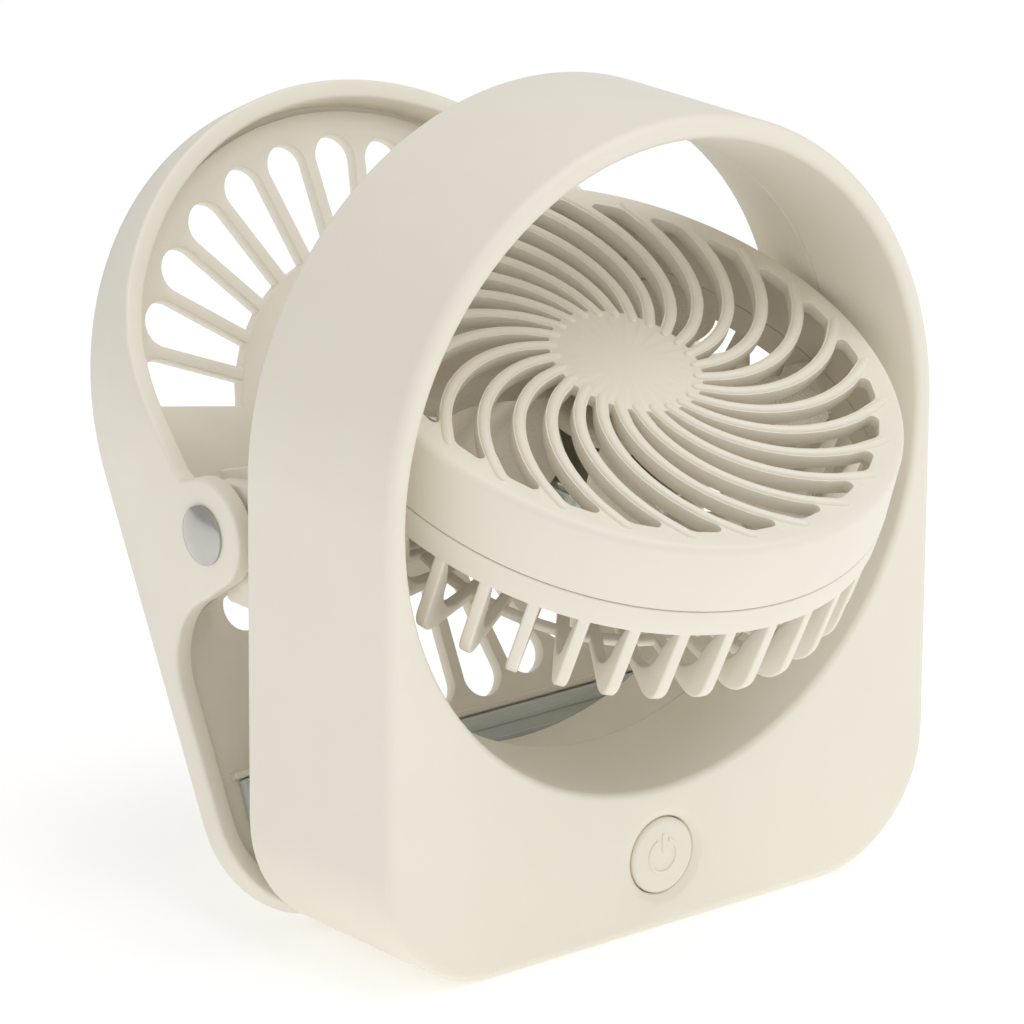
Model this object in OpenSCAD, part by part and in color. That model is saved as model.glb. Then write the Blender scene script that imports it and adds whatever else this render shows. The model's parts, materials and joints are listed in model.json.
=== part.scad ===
// Clip-on desk fan: a round-topped ring housing on a battery base, a fan head that tilts inside
// the ring, and a sprung clamp of the same outline hinged on the housing's back.
// Millimetres, +Z up, front towards -Y. The origin is under the middle of the base.

/* [Housing] */
// Overall width of the housing
body_w = 140; // [138:1:144]
// Overall height of the housing
body_h = 165.5; // [163:0.5:168]
// Depth of the housing, front to back
body_d = 44.4; // [43:0.2:46]
// Radius of the two lower corners
corner_r = 27; // [24:1:30]
// Thickness of the moulded walls
wall = 2; // [1.8:0.1:2.2]
// Radius of the ring opening at its front edge
opening_r = 65.5; // [65:0.1:66]
// Radius of the ring opening at its back edge
rear_r = 66.2; // [65:0.1:66.4]
// Radius of the ring opening at its narrow middle
waist_r = 61.8; // [61.5:0.1:62.4]

/* [Fan head] */
// Upward tilt of the fan's axis at rest, in degrees
head_tilt = 65.7; // [0:0.1:80]
// Outer radius of the head at its front rim
head_front_r = 57; // [56:0.1:57.2]
// Outer radius of the head at the seam between its two halves
head_seam_r = 58.2; // [57.6:0.1:58.4]
// Distance from the tilt axis to the head's front face
head_front_z = 20.7; // [19:0.1:20.8]
// Distance from the tilt axis to the head's back face
head_back_z = 19.5; // [18:0.1:19.8]
// Number of curved vanes in the front grille
vane_count = 26; // [20:1:30]
// Number of radial fins in the rear guard
fin_count = 36; // [24:2:40]
// Number of fan blades
blade_count = 7; // [5:1:9]
// Radius of the blade tips
blade_r = 48; // [44:1:49]

/* [Clamp] */
// Lean of the closed clamp from upright, in degrees
clamp_lean = 26.8; // [25:0.2:28]
// Distance of the hinge axis behind the middle of the housing
hinge_y = 36.8; // [36:0.2:38]
// Height of the hinge axis
hinge_z = 81.1; // [79:0.2:83]
// Half the width of the clamp, and the radius of its round top
clamp_r = 68.7; // [67:0.1:69]
// Width of the clamp's raised rim
rim_w = 4; // [3:0.5:5]
// Angle between neighbouring air slots of the upper fan
slot_pitch = 13.2; // [12:0.1:13.2]
// Angle between neighbouring air slots of the lower fan
low_pitch = 12.3; // [12:0.1:12.6]

/* [Button] */
// Radius of the power button
button_r = 7.8; // [7:0.1:8]
// Height of the button's centre
button_z = 15.3; // [14:0.1:16]
// Travel of the button
button_travel = 0.8; // [0.4:0.1:0.8]

/* [Hidden] */
$fn = 96;
ivory = "#e6dfd2";
half_d = body_d / 2;
ring_z = body_h - body_w / 2;
corner_x = body_w / 2 - corner_r;
tube_t = 1.8;
rear_t = 1.3;
seam_gap = 0.1;
front_in = -half_d + wall;

// bosses that the four housing screws draw together
boss_xz = [[-54, 30], [54, 30], [-47, 7], [47, 7]];
boss_r = 3.2;
screw_r = 1.3;
screw_head_r = 2.4;

// control board, behind the button
board_x = [-14, 60.5];
board_z = [11, 25];
board_y = [-11, -9.4];
board_screw_x = [-11, 44];
board_screw_z = 22;
switch_size = 6;
plunger_r = 1.7;
button_y = -half_d + 0.5;
collar_end = -17.5;
button_clear = 0.2;
dish_r = 9.6;
dish_d = 1;
port_x = [58, 68.6];
port_y = [board_y[1], board_y[1] + 3.2];
port_z = 20;
port_w = 9;
cell_r = 9.2;
cell_l = 65;
cell_pos = [-40, 4.6, 11.6];

// fan head, measured from the tilt axis along the fan's axis
seam_z = 6.2;
band_end_z = 0.25;
head_wall = 2;
rim_in_r = 51.8;
rim_t = 2.4;
disc_r = 14.9;
vane_w = 2.5;
vane_t = 3.6;
vane_proud = 0.4;
vane_r = [13.6, 53.5];
vane_sweep = 49;
vane_phase = 4.4;
vane_steps = 12;
fin_t = 2.5;
fin_leg = 2.2;
fin_side = 4.2;
fin_window_r = 10;
fin_corner_r = 6;
guard_hub_r = 24;
guard_hub_t = 2.6;
guard_ring_r = 38;
head_boss_r = 53.6;
head_boss_t = 2.9;
head_boss_z = [1.8, 5.95];
head_screw_a = [45, 135, 225, 315];
pivot_r = 3.5;
pivot_clear = 0.06;
pivot_end = 66.2;
pivot_bore_r = 1.4;
can_r = 20.4;
can_z = [-14, 1.5];
can_t = 1;
shaft_r = 1.5;
shaft_clear = 0.04;
hub_r = 16.2;
hub_z = [10, 13];
hub_boss_z = 4.4;
blade_z = [2.6, 15.2];
blade_t = 1.3;
blade_phase = 36;
blade_rows = 7;
blade_cols = 6;

// clamp, measured from the hinge axis: x across, y up along the plate, z towards the housing
plate_z = -24.3;
plate_t = 3;
clamp_top_y = 17.4;
clamp_low_y = -76.6;
clamp_corner_r = 22;
slot_y = clamp_top_y;
slot_r = [34.5, 53.6];
low_slot_r = [34.5, 56.8];
low_turn = 178.9;
groove_w = 1.2;
groove_d = 1.4;
spoke_w = 2.6;
upper_slots = 12;
lower_slots = 10;
ear_r = 11.2;
lug_x = [58, 63.9];
inner_ear_x = [55, 57.6];
hinge_r = 2.5;
hinge_clear = 0.06;
pad_y = [-72.5, -47];
pad_t = 2;
pad_half = 61;
jaw_gap = 0.3;
spring_r = 4.6;
spring_wire = 1.1;
spring_turns = 3;
spring_x = 52.6;
coil_rings = 72;
coil_sides = 8;

// ---------- placing ----------
// a flat shape drawn in x and z, from y0 to y1
module along_y(y0, y1) {
    translate([0, y1, 0]) rotate([90, 0, 0]) linear_extrude(y1 - y0) children();
}
// a flat shape drawn in y and z, from x0 to x1
module along_x(x0, x1) {
    translate([x0, 0, 0]) rotate([90, 0, 90]) linear_extrude(x1 - x0) children();
}
module rod_y(r, y0, y1, x = 0, z = 0) {
    translate([x, y0, z]) rotate([-90, 0, 0]) cylinder(r = r, h = y1 - y0);
}
module rod_x(r, x0, x1, y = 0, z = 0) {
    translate([x0, y, z]) rotate([0, 90, 0]) cylinder(r = r, h = x1 - x0);
}
module cone_y(r0, r1, y0, y1, z = 0) {
    translate([0, y0, z]) rotate([-90, 0, 0]) cylinder(r1 = r0, r2 = r1, h = y1 - y0);
}
module both_sides() {
    children();
    mirror([1, 0, 0]) children();
}
module in_head() {
    translate([0, 0, ring_z]) rotate([90 - head_tilt, 0, 0]) children();
}
module in_clamp() {
    translate([0, hinge_y, hinge_z]) rotate([90 - clamp_lean, 0, 0]) children();
}
// round wire through the points p, with a slightly larger ball at each bend
module wire(p, r) {
    for (i = [0 : len(p) - 2]) {
        v = p[i + 1] - p[i];
        translate(p[i]) rotate([0, acos(v[2] / norm(v)), atan2(v[1], v[0])])
            cylinder(r = r, h = norm(v), $fn = 16);
        if (i > 0) translate(p[i]) sphere(r = 1.1 * r, $fn = 16);
    }
}

// ---------- housing ----------
module outline(inset = 0) {
    r = body_w / 2 - inset;
    translate([0, ring_z]) circle(r = r, $fn = 180);
    translate([-r, corner_r]) square([2 * r, ring_z - corner_r]);
    translate([-corner_x, inset]) square([2 * corner_x, corner_r]);
    for (s = [-1, 1]) translate([s * corner_x, corner_r]) circle(r = corner_r - inset);
}
module pivot_bores() {
    both_sides() rod_x(pivot_r + pivot_clear, waist_r - 2, pivot_end + 0.2, 0, ring_z);
}
module front_housing() {
    color(ivory) difference() {
        union() {
            difference() {
                along_y(-half_d, half_d) outline();
                along_y(front_in, half_d + 1) outline(wall);
            }
            cone_y(opening_r + tube_t, waist_r + tube_t, -half_d, -seam_gap / 2, ring_z);
            for (p = boss_xz) rod_y(boss_r, front_in - 0.5, half_d - wall - 0.1, p[0], p[1]);
            rod_y(button_r + 2.6, front_in - 0.5, collar_end, 0, button_z);
        }
        cone_y(opening_r + 0.17, waist_r - 0.17, -half_d - 1, 1, ring_z);
        cone_y(dish_r + 0.1, button_r + button_clear, -half_d - 0.1, -half_d + dish_d, button_z);
        rod_y(button_r + button_clear, -half_d - 1, collar_end + 1, 0, button_z);
        for (p = boss_xz) rod_y(screw_r, 6, half_d, p[0], p[1]);
        along_x(port_x[0], body_w / 2 + 1) port_outline(0.3);
        pivot_bores();
    }
}
module rear_cover() {
    color(ivory) difference() {
        union() {
            along_y(half_d - wall, half_d) outline(wall + 0.1);
            cone_y(waist_r + tube_t, rear_r + rear_t, seam_gap / 2, half_d, ring_z);
            both_sides() along_x(lug_x[0], lug_x[1]) lug_outline();
            both_sides() along_x(lug_x[0], lug_x[0] + 1.4) web_outline();
        }
        cone_y(waist_r - 0.17, rear_r + 0.17, -1, half_d + 1, ring_z);
        for (p = boss_xz) {
            rod_y(screw_r + 0.2, half_d - wall - 1, half_d + 1, p[0], p[1]);
            rod_y(screw_head_r + 0.2, half_d - 1.1, half_d + 1, p[0], p[1]);
        }
        both_sides() rod_x(hinge_r + hinge_clear, lug_x[0] - 1, lug_x[1] + 1, hinge_y, hinge_z);
        pivot_bores();
    }
}
// hinge lug, drawn in y and z: a round end on the hinge axis over a square foot
module lug_outline() {
    translate([hinge_y, hinge_z]) circle(r = 9.6);
    polygon([[half_d - wall, 93.2], [half_d, 93.2], [hinge_y + 1.2, hinge_z + 9.4],
             [hinge_y - 0.8, 66.8], [half_d - wall, 66.8]]);
}
// thin web on the lug's inner side, standing higher than the lug
module web_outline() {
    polygon([[half_d - wall, 97.9], [half_d, 97.9], [44, 90.7], [44, 80], [half_d - wall, 75]]);
}
module housing_screws() {
    color("silver") for (p = boss_xz) {
        rod_y(screw_r - 0.05, 8, half_d - 1.1, p[0], p[1]);
        difference() {
            rod_y(screw_head_r, half_d - 1.1, half_d - 0.1, p[0], p[1]);
            translate([p[0] - 1.5, half_d - 0.6, p[1] - 0.25]) cube([3, 1, 0.5]);
            translate([p[0] - 0.25, half_d - 0.6, p[1] - 1.5]) cube([0.5, 1, 3]);
        }
    }
}

// ---------- electronics ----------
module port_outline(grow = 0) {
    r = (port_y[1] - port_y[0]) / 2 + grow;
    for (s = [-1, 1]) translate([(port_y[0] + port_y[1]) / 2, port_z + s * (port_w / 2 - r + grow)])
        circle(r = r);
    translate([port_y[0] - grow, port_z - port_w / 2 + r - grow])
        square([2 * r, port_w - 2 * r + 2 * grow]);
}
module control_board() {
    color("darkgreen") difference() {
        translate([board_x[0], board_y[0], board_z[0]])
            cube([board_x[1] - board_x[0], board_y[1] - board_y[0], board_z[1] - board_z[0]]);
        for (x = board_screw_x) rod_y(1.1, board_y[0] - 1, board_y[1] + 1, x, board_screw_z);
    }
    color("dimgray") translate([20, board_y[1], 14]) cube([6, 1.2, 5]);
    color("dimgray") translate([34, board_y[1], 14]) cube([4, 1, 4]);
}
module board_screws() {
    color("silver") for (x = board_screw_x) {
        rod_y(1, board_y[0] - 3, board_y[1], x, board_screw_z);
        rod_y(2, board_y[1], board_y[1] + 1, x, board_screw_z);
    }
}
module tact_switch() {
    color("black") difference() {
        translate([-switch_size / 2, board_y[0] - 3.4, button_z - switch_size / 2])
            cube([switch_size, 3.4, switch_size]);
        rod_y(plunger_r + 0.1, board_y[0] - 4, board_y[0] - 0.8, 0, button_z);
    }
}
module charge_port() {
    color("silver") difference() {
        along_x(port_x[0], port_x[1]) port_outline();
        along_x(port_x[0] + 1.5, port_x[1] + 1) port_outline(-0.35);
    }
    color("black") translate([port_x[0] + 1, (port_y[0] + port_y[1]) / 2 - 0.35, port_z - 3.2])
        cube([port_x[1] - port_x[0] - 2, 0.7, 6.4]);
}
module battery_cell() {
    color("teal") rod_x(cell_r, cell_pos[0], cell_pos[0] + cell_l, cell_pos[1], cell_pos[2]);
    color("silver") rod_x(3, cell_pos[0] + cell_l, cell_pos[0] + cell_l + 1, cell_pos[1], cell_pos[2]);
}
module battery_leads() {
    cell_end = cell_pos[0] + cell_l;
    color("red") wire([[cell_end + 1.7, 4.6, 11.6], [cell_end + 3, 2, 14], [30, -6, 20],
                       [30, board_y[1] + 0.05, 20.2]], 0.7);
    color("black") wire([[cell_pos[0] - 0.75, 4.6, 11.6], [-42, -4, 20], [-30, -7.5, 18],
                         [-9, board_y[1] + 0.75, 14]], 0.7);
}
// pair of motor leads in the hollow of the ring, from the board to the left pivot
module motor_leads() {
    for (s = [-1, 1]) color(s < 0 ? "red" : "black")
        wire([[-6, board_y[1] + 0.75, 16.5 + s], [-44, -8 + s, 27 + s], [-58, -4 + s, 42],
              [-66.2, s, 74], [-67.1, s, ring_z]], 0.6);
}

// ---------- button ----------
module power_button() {
    color(ivory) difference() {
        union() {
            rod_y(button_r, button_y, collar_end + 0.3, 0, button_z);
            rod_y(button_r + 1.4, collar_end + 0.2, collar_end + 1.2, 0, button_z);
        }
        rod_y(button_r - 1.4, button_y + 1.6, collar_end + 2, 0, button_z);
    }
    color(ivory) rod_y(2, button_y + 1.5, board_y[0] - 4.6, 0, button_z);
    color(ivory) power_symbol();
}
// raised broken ring and bar, the common mark for power
module power_symbol() {
    along_y(button_y - 0.25, button_y + 0.05) translate([0, button_z]) {
        difference() {
            circle(r = 3.9);
            circle(r = 3.1);
            translate([-1.3, 0]) square([2.6, 5]);
        }
        translate([-0.4, 0.6]) square([0.8, 4.1]);
    }
}
module switch_plunger() {
    color("dimgray") rod_y(plunger_r, board_y[0] - 4.6, board_y[0] - 1.7, 0, button_z);
}

// ---------- fan head ----------
// angle of a vane's centre line at radius r: a spiral that leans over towards the rim
function vane_angle(r) =
    let (t = (r - vane_r[0]) / (vane_r[1] - vane_r[0]))
    vane_sweep * (0.85 * t + 0.15 * t * t);
function polar(r, a) = [r * cos(a), r * sin(a)];
function vane_side(s) = [for (i = [0 : vane_steps])
    let (r = vane_r[0] + (vane_r[1] - vane_r[0]) * i / vane_steps,
         slope = PI / 180 * r * (vane_angle(r + 0.1) - vane_angle(r - 0.1)) / 0.2,
         off = 180 / PI * s * vane_w / 2 * sqrt(1 + slope * slope) / r)
    polar(r, vane_angle(r) + off)];
function flip(v) = [for (i = [len(v) - 1 : -1 : 0]) v[i]];
module vane() {
    polygon(concat(vane_side(-1), flip(vane_side(1))));
}
module head_grille() {
    color(ivory) in_head() {
        rotate_extrude() polygon([
            [head_seam_r, seam_z + seam_gap], [head_front_r, head_front_z - 1.6],
            [head_front_r - 0.6, head_front_z - 0.5], [head_front_r - 1.6, head_front_z],
            [rim_in_r, head_front_z], [rim_in_r, head_front_z - rim_t],
            [head_front_r - head_wall, head_front_z - rim_t],
            [head_seam_r - head_wall, seam_z + seam_gap]]);
        translate([0, 0, head_front_z - rim_t]) cylinder(r = disc_r, h = rim_t - 0.1);
        for (i = [0 : vane_count - 1]) rotate([0, 0, vane_phase + 360 * i / vane_count])
            translate([0, 0, head_front_z + vane_proud - vane_t]) linear_extrude(vane_t) vane();
        difference() {
            for (a = head_screw_a) rotate([0, 0, a]) translate([head_boss_r, 0, seam_z + seam_gap])
                cylinder(r = head_boss_t, h = head_front_z - rim_t - seam_z);
            for (a = head_screw_a) rotate([0, 0, a]) translate([head_boss_r, 0, seam_z - 1])
                cylinder(r = 1.05, h = 10);
        }
    }
}
// one fin in radius and depth: down the side, round the corner and in along the back
function arc(c, r, a0, a1) = [for (i = [0 : 8]) c + polar(r, a0 + (a1 - a0) * i / 8)];
module fin() {
    out = head_seam_r - 1.2;
    low = 0.15 - head_back_z;
    top = band_end_z + 0.5;
    polygon(concat(
        [[guard_hub_r - 1, low + fin_leg], [guard_hub_r - 1, low]],
        arc([out - fin_corner_r, low + fin_corner_r], fin_corner_r, -90, 0),
        [[head_seam_r - 0.3, top], [head_seam_r - head_wall + 0.2, top]],
        arc([out - fin_side - fin_window_r, low + fin_leg + fin_window_r], fin_window_r, 0, -90)));
}
module head_guard() {
    back = -head_back_z;
    color(ivory) in_head() difference() {
        union() {
            rotate_extrude() polygon([
                [head_seam_r, band_end_z], [head_seam_r, seam_z - 0.05],
                [head_seam_r - head_wall, seam_z - 0.05], [head_seam_r - head_wall, band_end_z]]);
            for (i = [0 : fin_count - 1]) rotate([90, 0, 360 * i / fin_count])
                translate([0, 0, -fin_t / 2]) linear_extrude(fin_t) fin();
            translate([0, 0, back + 0.4]) difference() {
                cylinder(r = guard_ring_r + 1.2, h = 1.6);
                translate([0, 0, -1]) cylinder(r = guard_ring_r - 1.2, h = 4);
            }
            translate([0, 0, back]) cylinder(r = guard_hub_r, h = guard_hub_t);
            for (a = head_screw_a) rotate([0, 0, a]) translate([head_boss_r, 0, head_boss_z[0]])
                cylinder(r = head_boss_t, h = head_boss_z[1] - head_boss_z[0]);
            both_sides() rod_x(pivot_r + 1.9, head_seam_r - head_wall - 3, head_seam_r - head_wall + 0.5);
        }
        for (a = head_screw_a) rotate([0, 0, a]) translate([head_boss_r, 0, -2])
            cylinder(r = 1.35, h = 10);
        both_sides() rod_x(pivot_r - 0.45, head_seam_r - head_wall - 4, head_seam_r + 1);
        for (a = [90, 210, 330]) rotate([0, 0, a]) translate([11, 0, back - 1]) cylinder(r = 1.2, h = 5);
        translate([0, 0, back - 1]) cylinder(r = 4, h = 5);
    }
}
module head_screws() {
    color("silver") in_head() for (a = head_screw_a) rotate([0, 0, a]) translate([head_boss_r, 0, 0]) {
        translate([0, 0, head_boss_z[0] - 1.2]) cylinder(r = 2.1, h = 1.2);
        translate([0, 0, head_boss_z[0]]) cylinder(r = 1, h = 9);
    }
}
// hollow stub axles that carry the head in the ring; the leads pass through the left one
module pivot_pins() {
    color(ivory) in_head() both_sides() difference() {
        union() {
            rod_x(pivot_r - 0.5, head_seam_r - head_wall - 3, head_seam_r + 1);
            rod_x(pivot_r + 2, head_seam_r + 0.05, waist_r - 0.6);
            rod_x(pivot_r, waist_r - 0.7, pivot_end);
        }
        rod_x(pivot_bore_r, head_seam_r - head_wall - 4, pivot_end + 1);
    }
}
module pivot_washers() {
    color("white") both_sides() difference() {
        rod_x(pivot_r + 1.6, 64.55, 65.1, 0, ring_z);
        rod_x(pivot_r + pivot_clear, 64, 66, 0, ring_z);
    }
}
module pivot_clips() {
    color("silver") in_head() both_sides() difference() {
        rod_x(pivot_r + 1.2, 65.2, 65.8);
        rod_x(pivot_r, 65, 66);
    }
}
module head_leads() {
    for (s = [-1, 1]) color(s < 0 ? "white" : "ivory") in_head()
        wire([[-65.2, s * 0.7, 0.1], [-51, s * 0.7, -0.1], [-50, s, -12], [-45, s, -15],
              [-can_r - 0.05, s, -15.2]], 0.55);
}

// ---------- motor and blades ----------
module motor_can() {
    color("silver") in_head() rotate_extrude() polygon([
        [shaft_r + 1.6, can_z[1]], [can_r - 0.8, can_z[1]], [can_r, can_z[1] - 0.8], [can_r, can_z[0]],
        [can_r - can_t, can_z[0]], [can_r - can_t, can_z[1] - can_t], [shaft_r + 1.6, can_z[1] - can_t]]);
}
module motor_end_cap() {
    color("black") in_head() difference() {
        translate([0, 0, guard_hub_t - head_back_z])
            cylinder(r = can_r, h = can_z[0] + head_back_z - guard_hub_t);
        translate([0, 0, -18]) cylinder(r = shaft_r + 1.6, h = 6);
        for (a = [90, 210, 330]) rotate([0, 0, a]) translate([11, 0, -18]) cylinder(r = 1, h = 3.2);
    }
}
module motor_magnets() {
    color("dimgray") in_head() for (a = [0, 180]) rotate([0, 0, a + 20])
        rotate_extrude(angle = 140) translate([14.4, -12.5]) square([can_r - can_t - 14.4, 12]);
}
module motor_bushes() {
    color("goldenrod") in_head() for (z = [-head_back_z + 2.8, can_z[1] - 1.8]) translate([0, 0, z])
        difference() {
            cylinder(r = shaft_r + 1.55, h = 2.4);
            translate([0, 0, -1]) cylinder(r = shaft_r + shaft_clear, h = 5);
        }
}
module motor_screws() {
    color("silver") in_head() for (a = [90, 210, 330]) rotate([0, 0, a]) translate([11, 0, 0]) {
        translate([0, 0, -head_back_z - 1]) cylinder(r = 2, h = 1);
        translate([0, 0, -head_back_z]) cylinder(r = 0.95, h = 4.6);
    }
}
module motor_shaft() {
    color("silver") in_head() translate([0, 0, -head_back_z + 2.8]) cylinder(r = shaft_r, h = 28);
}
module motor_armature() {
    color("sienna") in_head() difference() {
        translate([0, 0, -11.5]) cylinder(r = 13.8, h = 10);
        translate([0, 0, -12]) cylinder(r = shaft_r, h = 12);
        for (a = [0, 120, 240]) rotate([0, 0, a]) translate([8, -1.2, -12]) cube([8, 2.4, 11]);
    }
}
module commutator() {
    color("goldenrod") in_head() difference() {
        translate([0, 0, -13.6]) cylinder(r = 3.2, h = 1.9);
        translate([0, 0, -15]) cylinder(r = shaft_r, h = 5);
    }
}
// one blade: a plate from the hub to the tip, pitched steeply at the root and flatter at the tip
function blade_point(i, j, side) =
    let (u = i / blade_rows, v = j / blade_cols,
         r = hub_r - 0.8 + (blade_r - hub_r + 0.8) * u,
         a = -8 * u + (30 + 8 * sin(180 * u)) * (v - 0.5) + 14 * u * u,
         z = blade_z[0] + blade_t + (blade_z[1] - blade_z[0] - 2 * blade_t) * (1 - v) * (1 - 0.25 * u))
    [r * cos(a), r * sin(a), z + side * blade_t / 2];
function blade_index(i, j, top) = (i * (blade_cols + 1) + j) * 2 + top;
module blade() {
    ix = function(i, j, t) blade_index(i, j, t);
    points = [for (i = [0 : blade_rows]) for (j = [0 : blade_cols]) for (s = [-1, 1]) blade_point(i, j, s)];
    skin = [for (i = [0 : blade_rows - 1]) for (j = [0 : blade_cols - 1]) each [
        [ix(i, j, 1), ix(i, j + 1, 1), ix(i + 1, j, 1)],
        [ix(i, j + 1, 1), ix(i + 1, j + 1, 1), ix(i + 1, j, 1)],
        [ix(i, j, 0), ix(i + 1, j, 0), ix(i, j + 1, 0)],
        [ix(i, j + 1, 0), ix(i + 1, j, 0), ix(i + 1, j + 1, 0)]]];
    ends = [for (j = [0 : blade_cols - 1]) each [
        [ix(0, j, 0), ix(0, j + 1, 0), ix(0, j, 1)],
        [ix(0, j + 1, 0), ix(0, j + 1, 1), ix(0, j, 1)],
        [ix(blade_rows, j, 0), ix(blade_rows, j, 1), ix(blade_rows, j + 1, 0)],
        [ix(blade_rows, j + 1, 0), ix(blade_rows, j, 1), ix(blade_rows, j + 1, 1)]]];
    edges = [for (i = [0 : blade_rows - 1]) each [
        [ix(i, 0, 0), ix(i, 0, 1), ix(i + 1, 0, 0)],
        [ix(i + 1, 0, 0), ix(i, 0, 1), ix(i + 1, 0, 1)],
        [ix(i, blade_cols, 0), ix(i + 1, blade_cols, 0), ix(i, blade_cols, 1)],
        [ix(i + 1, blade_cols, 0), ix(i + 1, blade_cols, 1), ix(i, blade_cols, 1)]]];
    polyhedron(points, concat(skin, ends, edges));
}
module fan_blades() {
    color(ivory) in_head() difference() {
        union() {
            difference() {
                translate([0, 0, hub_z[0]]) cylinder(r = hub_r, h = hub_z[1] - hub_z[0]);
                translate([0, 0, hub_z[0] - 1]) cylinder(r = hub_r - 1.6, h = hub_z[1] - hub_z[0] - 0.6);
            }
            translate([0, 0, hub_boss_z]) cylinder(r = 3.4, h = hub_z[1] - hub_boss_z - 1);
            for (i = [0 : blade_count - 1]) rotate([0, 0, blade_phase + 360 * i / blade_count]) blade();
        }
        translate([0, 0, hub_boss_z - 1]) cylinder(r = shaft_r + 0.01, h = 8);
    }
}

// ---------- clamp ----------
module clamp_outline(inset = 0) {
    r = clamp_r - inset;
    low_x = clamp_r - clamp_corner_r;
    translate([0, clamp_top_y]) circle(r = r, $fn = 180);
    translate([-r, clamp_low_y + clamp_corner_r])
        square([2 * r, clamp_top_y - clamp_low_y - clamp_corner_r]);
    translate([-low_x, clamp_low_y + inset]) square([2 * low_x, clamp_corner_r]);
    for (s = [-1, 1]) translate([s * low_x, clamp_low_y + clamp_corner_r])
        circle(r = clamp_corner_r - inset);
}
// one air slot between two spokes: square at its inner end and round at its outer end
module slot(pitch, r) {
    half = [for (q = r) q * tan(pitch / 2) - spoke_w / 2];
    polygon([[-half[0], r[0]], [half[0], r[0]], [half[1], r[1]], [-half[1], r[1]]]);
    translate([0, r[1]]) circle(r = half[1], $fn = 48);
}
module slot_fan(count, pitch, r) {
    for (i = [0 : count - 1]) rotate([0, 0, (i - (count - 1) / 2) * pitch]) slot(pitch, r);
}
// the rim's side view, in height and depth: an ear at the hinge, sloping down towards both ends
module rim_profile() {
    back = plate_z - plate_t - 1;
    circle(r = ear_r);
    difference() {
        polygon([[clamp_low_y - 1, back], [clamp_low_y - 1, plate_z + 2.5], [-27.3, plate_z + 2.5],
                 [-9, 0], [ear_r - 0.4, -3], [24, -6.8], [33, -10.1], [42, -13], [53, -15.3],
                 [clamp_top_y + clamp_r + 1, -19], [clamp_top_y + clamp_r + 1, back]]);
        translate([-27.3, plate_z + 2.5 + 15.2]) circle(r = 15.2);
    }
}
module clamp_shell() {
    color(ivory) difference() {
        in_clamp() difference() {
            union() {
                translate([0, 0, plate_z - plate_t]) linear_extrude(plate_t) clamp_outline();
                intersection() {
                    translate([0, 0, plate_z - plate_t]) linear_extrude(45) difference() {
                        clamp_outline();
                        clamp_outline(rim_w);
                    }
                    along_x(-clamp_r - 1, clamp_r + 1) rim_profile();
                }
                both_sides() along_x(inner_ear_x[0], inner_ear_x[1]) {
                    circle(r = 8.6);
                    polygon([[-13, plate_z - 1], [-8.4, -2], [8.4, -2], [13, plate_z - 1]]);
                }
                translate([-pad_half - 1, pad_y[1] + 0.1, plate_z - 0.5])
                    cube([2 * pad_half + 2, 1.4, 2.4]);
            }
            translate([0, slot_y, plate_z - plate_t - 1]) linear_extrude(plate_t + 2) {
                slot_fan(upper_slots, slot_pitch, slot_r);
                rotate([0, 0, low_turn]) slot_fan(lower_slots, low_pitch, low_slot_r);
            }
            translate([0, slot_y, plate_z - groove_d]) rotate_extrude(angle = 180)
                translate([clamp_r - rim_w - groove_w, 0]) square([groove_w + 0.3, groove_d + 0.5]);
            both_sides() rod_x(hinge_r, inner_ear_x[0] - 1, clamp_r + 1);
        }
        translate([-80, 0, -20]) cube([160, half_d + jaw_gap, 85]);
    }
}
module clamp_pad() {
    color("lightgray") difference() {
        in_clamp() translate([0, 0, plate_z]) linear_extrude(pad_t) intersection() {
            clamp_outline(rim_w + 0.4);
            translate([-pad_half, pad_y[0]]) square([2 * pad_half, pad_y[1] - pad_y[0]]);
        }
        translate([-80, 0, -20]) cube([160, half_d + jaw_gap, 85]);
    }
}
module hinge_pins() {
    color("silver") both_sides() rod_x(hinge_r, 50.3, clamp_r - 0.4, hinge_y, hinge_z);
}
// domed caps on the pins' outer ends
module hinge_caps() {
    dome_r = 16;
    color("silver") both_sides() translate([clamp_r, hinge_y, hinge_z]) {
        intersection() {
            translate([2 - dome_r, 0, 0]) sphere(r = dome_r);
            rotate([0, 90, 0]) cylinder(r = 6, h = 3);
        }
    }
}
// torsion springs wound round the pins' inner ends
function coil_point(t) =
    [spring_x - spring_turns * (spring_wire + 0.1) / 2 + t * spring_turns * (spring_wire + 0.1),
     spring_r * cos(360 * spring_turns * t), spring_r * sin(360 * spring_turns * t)];
module coil() {
    ring = function(i)
        let (t = i / coil_rings, c = coil_point(t), a = 360 * spring_turns * t)
        [for (k = [0 : coil_sides - 1]) let (b = 360 * k / coil_sides)
            c + spring_wire / 2 * (cos(b) * [1, 0, 0] + sin(b) * [0, cos(a), sin(a)])];
    points = [for (i = [0 : coil_rings]) each ring(i)];
    faces = [for (i = [0 : coil_rings - 1]) for (k = [0 : coil_sides - 1])
        let (n = (k + 1) % coil_sides, p = i * coil_sides)
        each [[p + k, p + n, p + coil_sides + k], [p + n, p + coil_sides + n, p + coil_sides + k]]];
    first = [for (k = [coil_sides - 1 : -1 : 0]) k];
    last = [for (k = [0 : coil_sides - 1]) coil_rings * coil_sides + k];
    polyhedron(points, concat(faces, [first, last]));
}
module clamp_springs() {
    color("silver") both_sides() translate([0, hinge_y, hinge_z]) coil();
}

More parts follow.
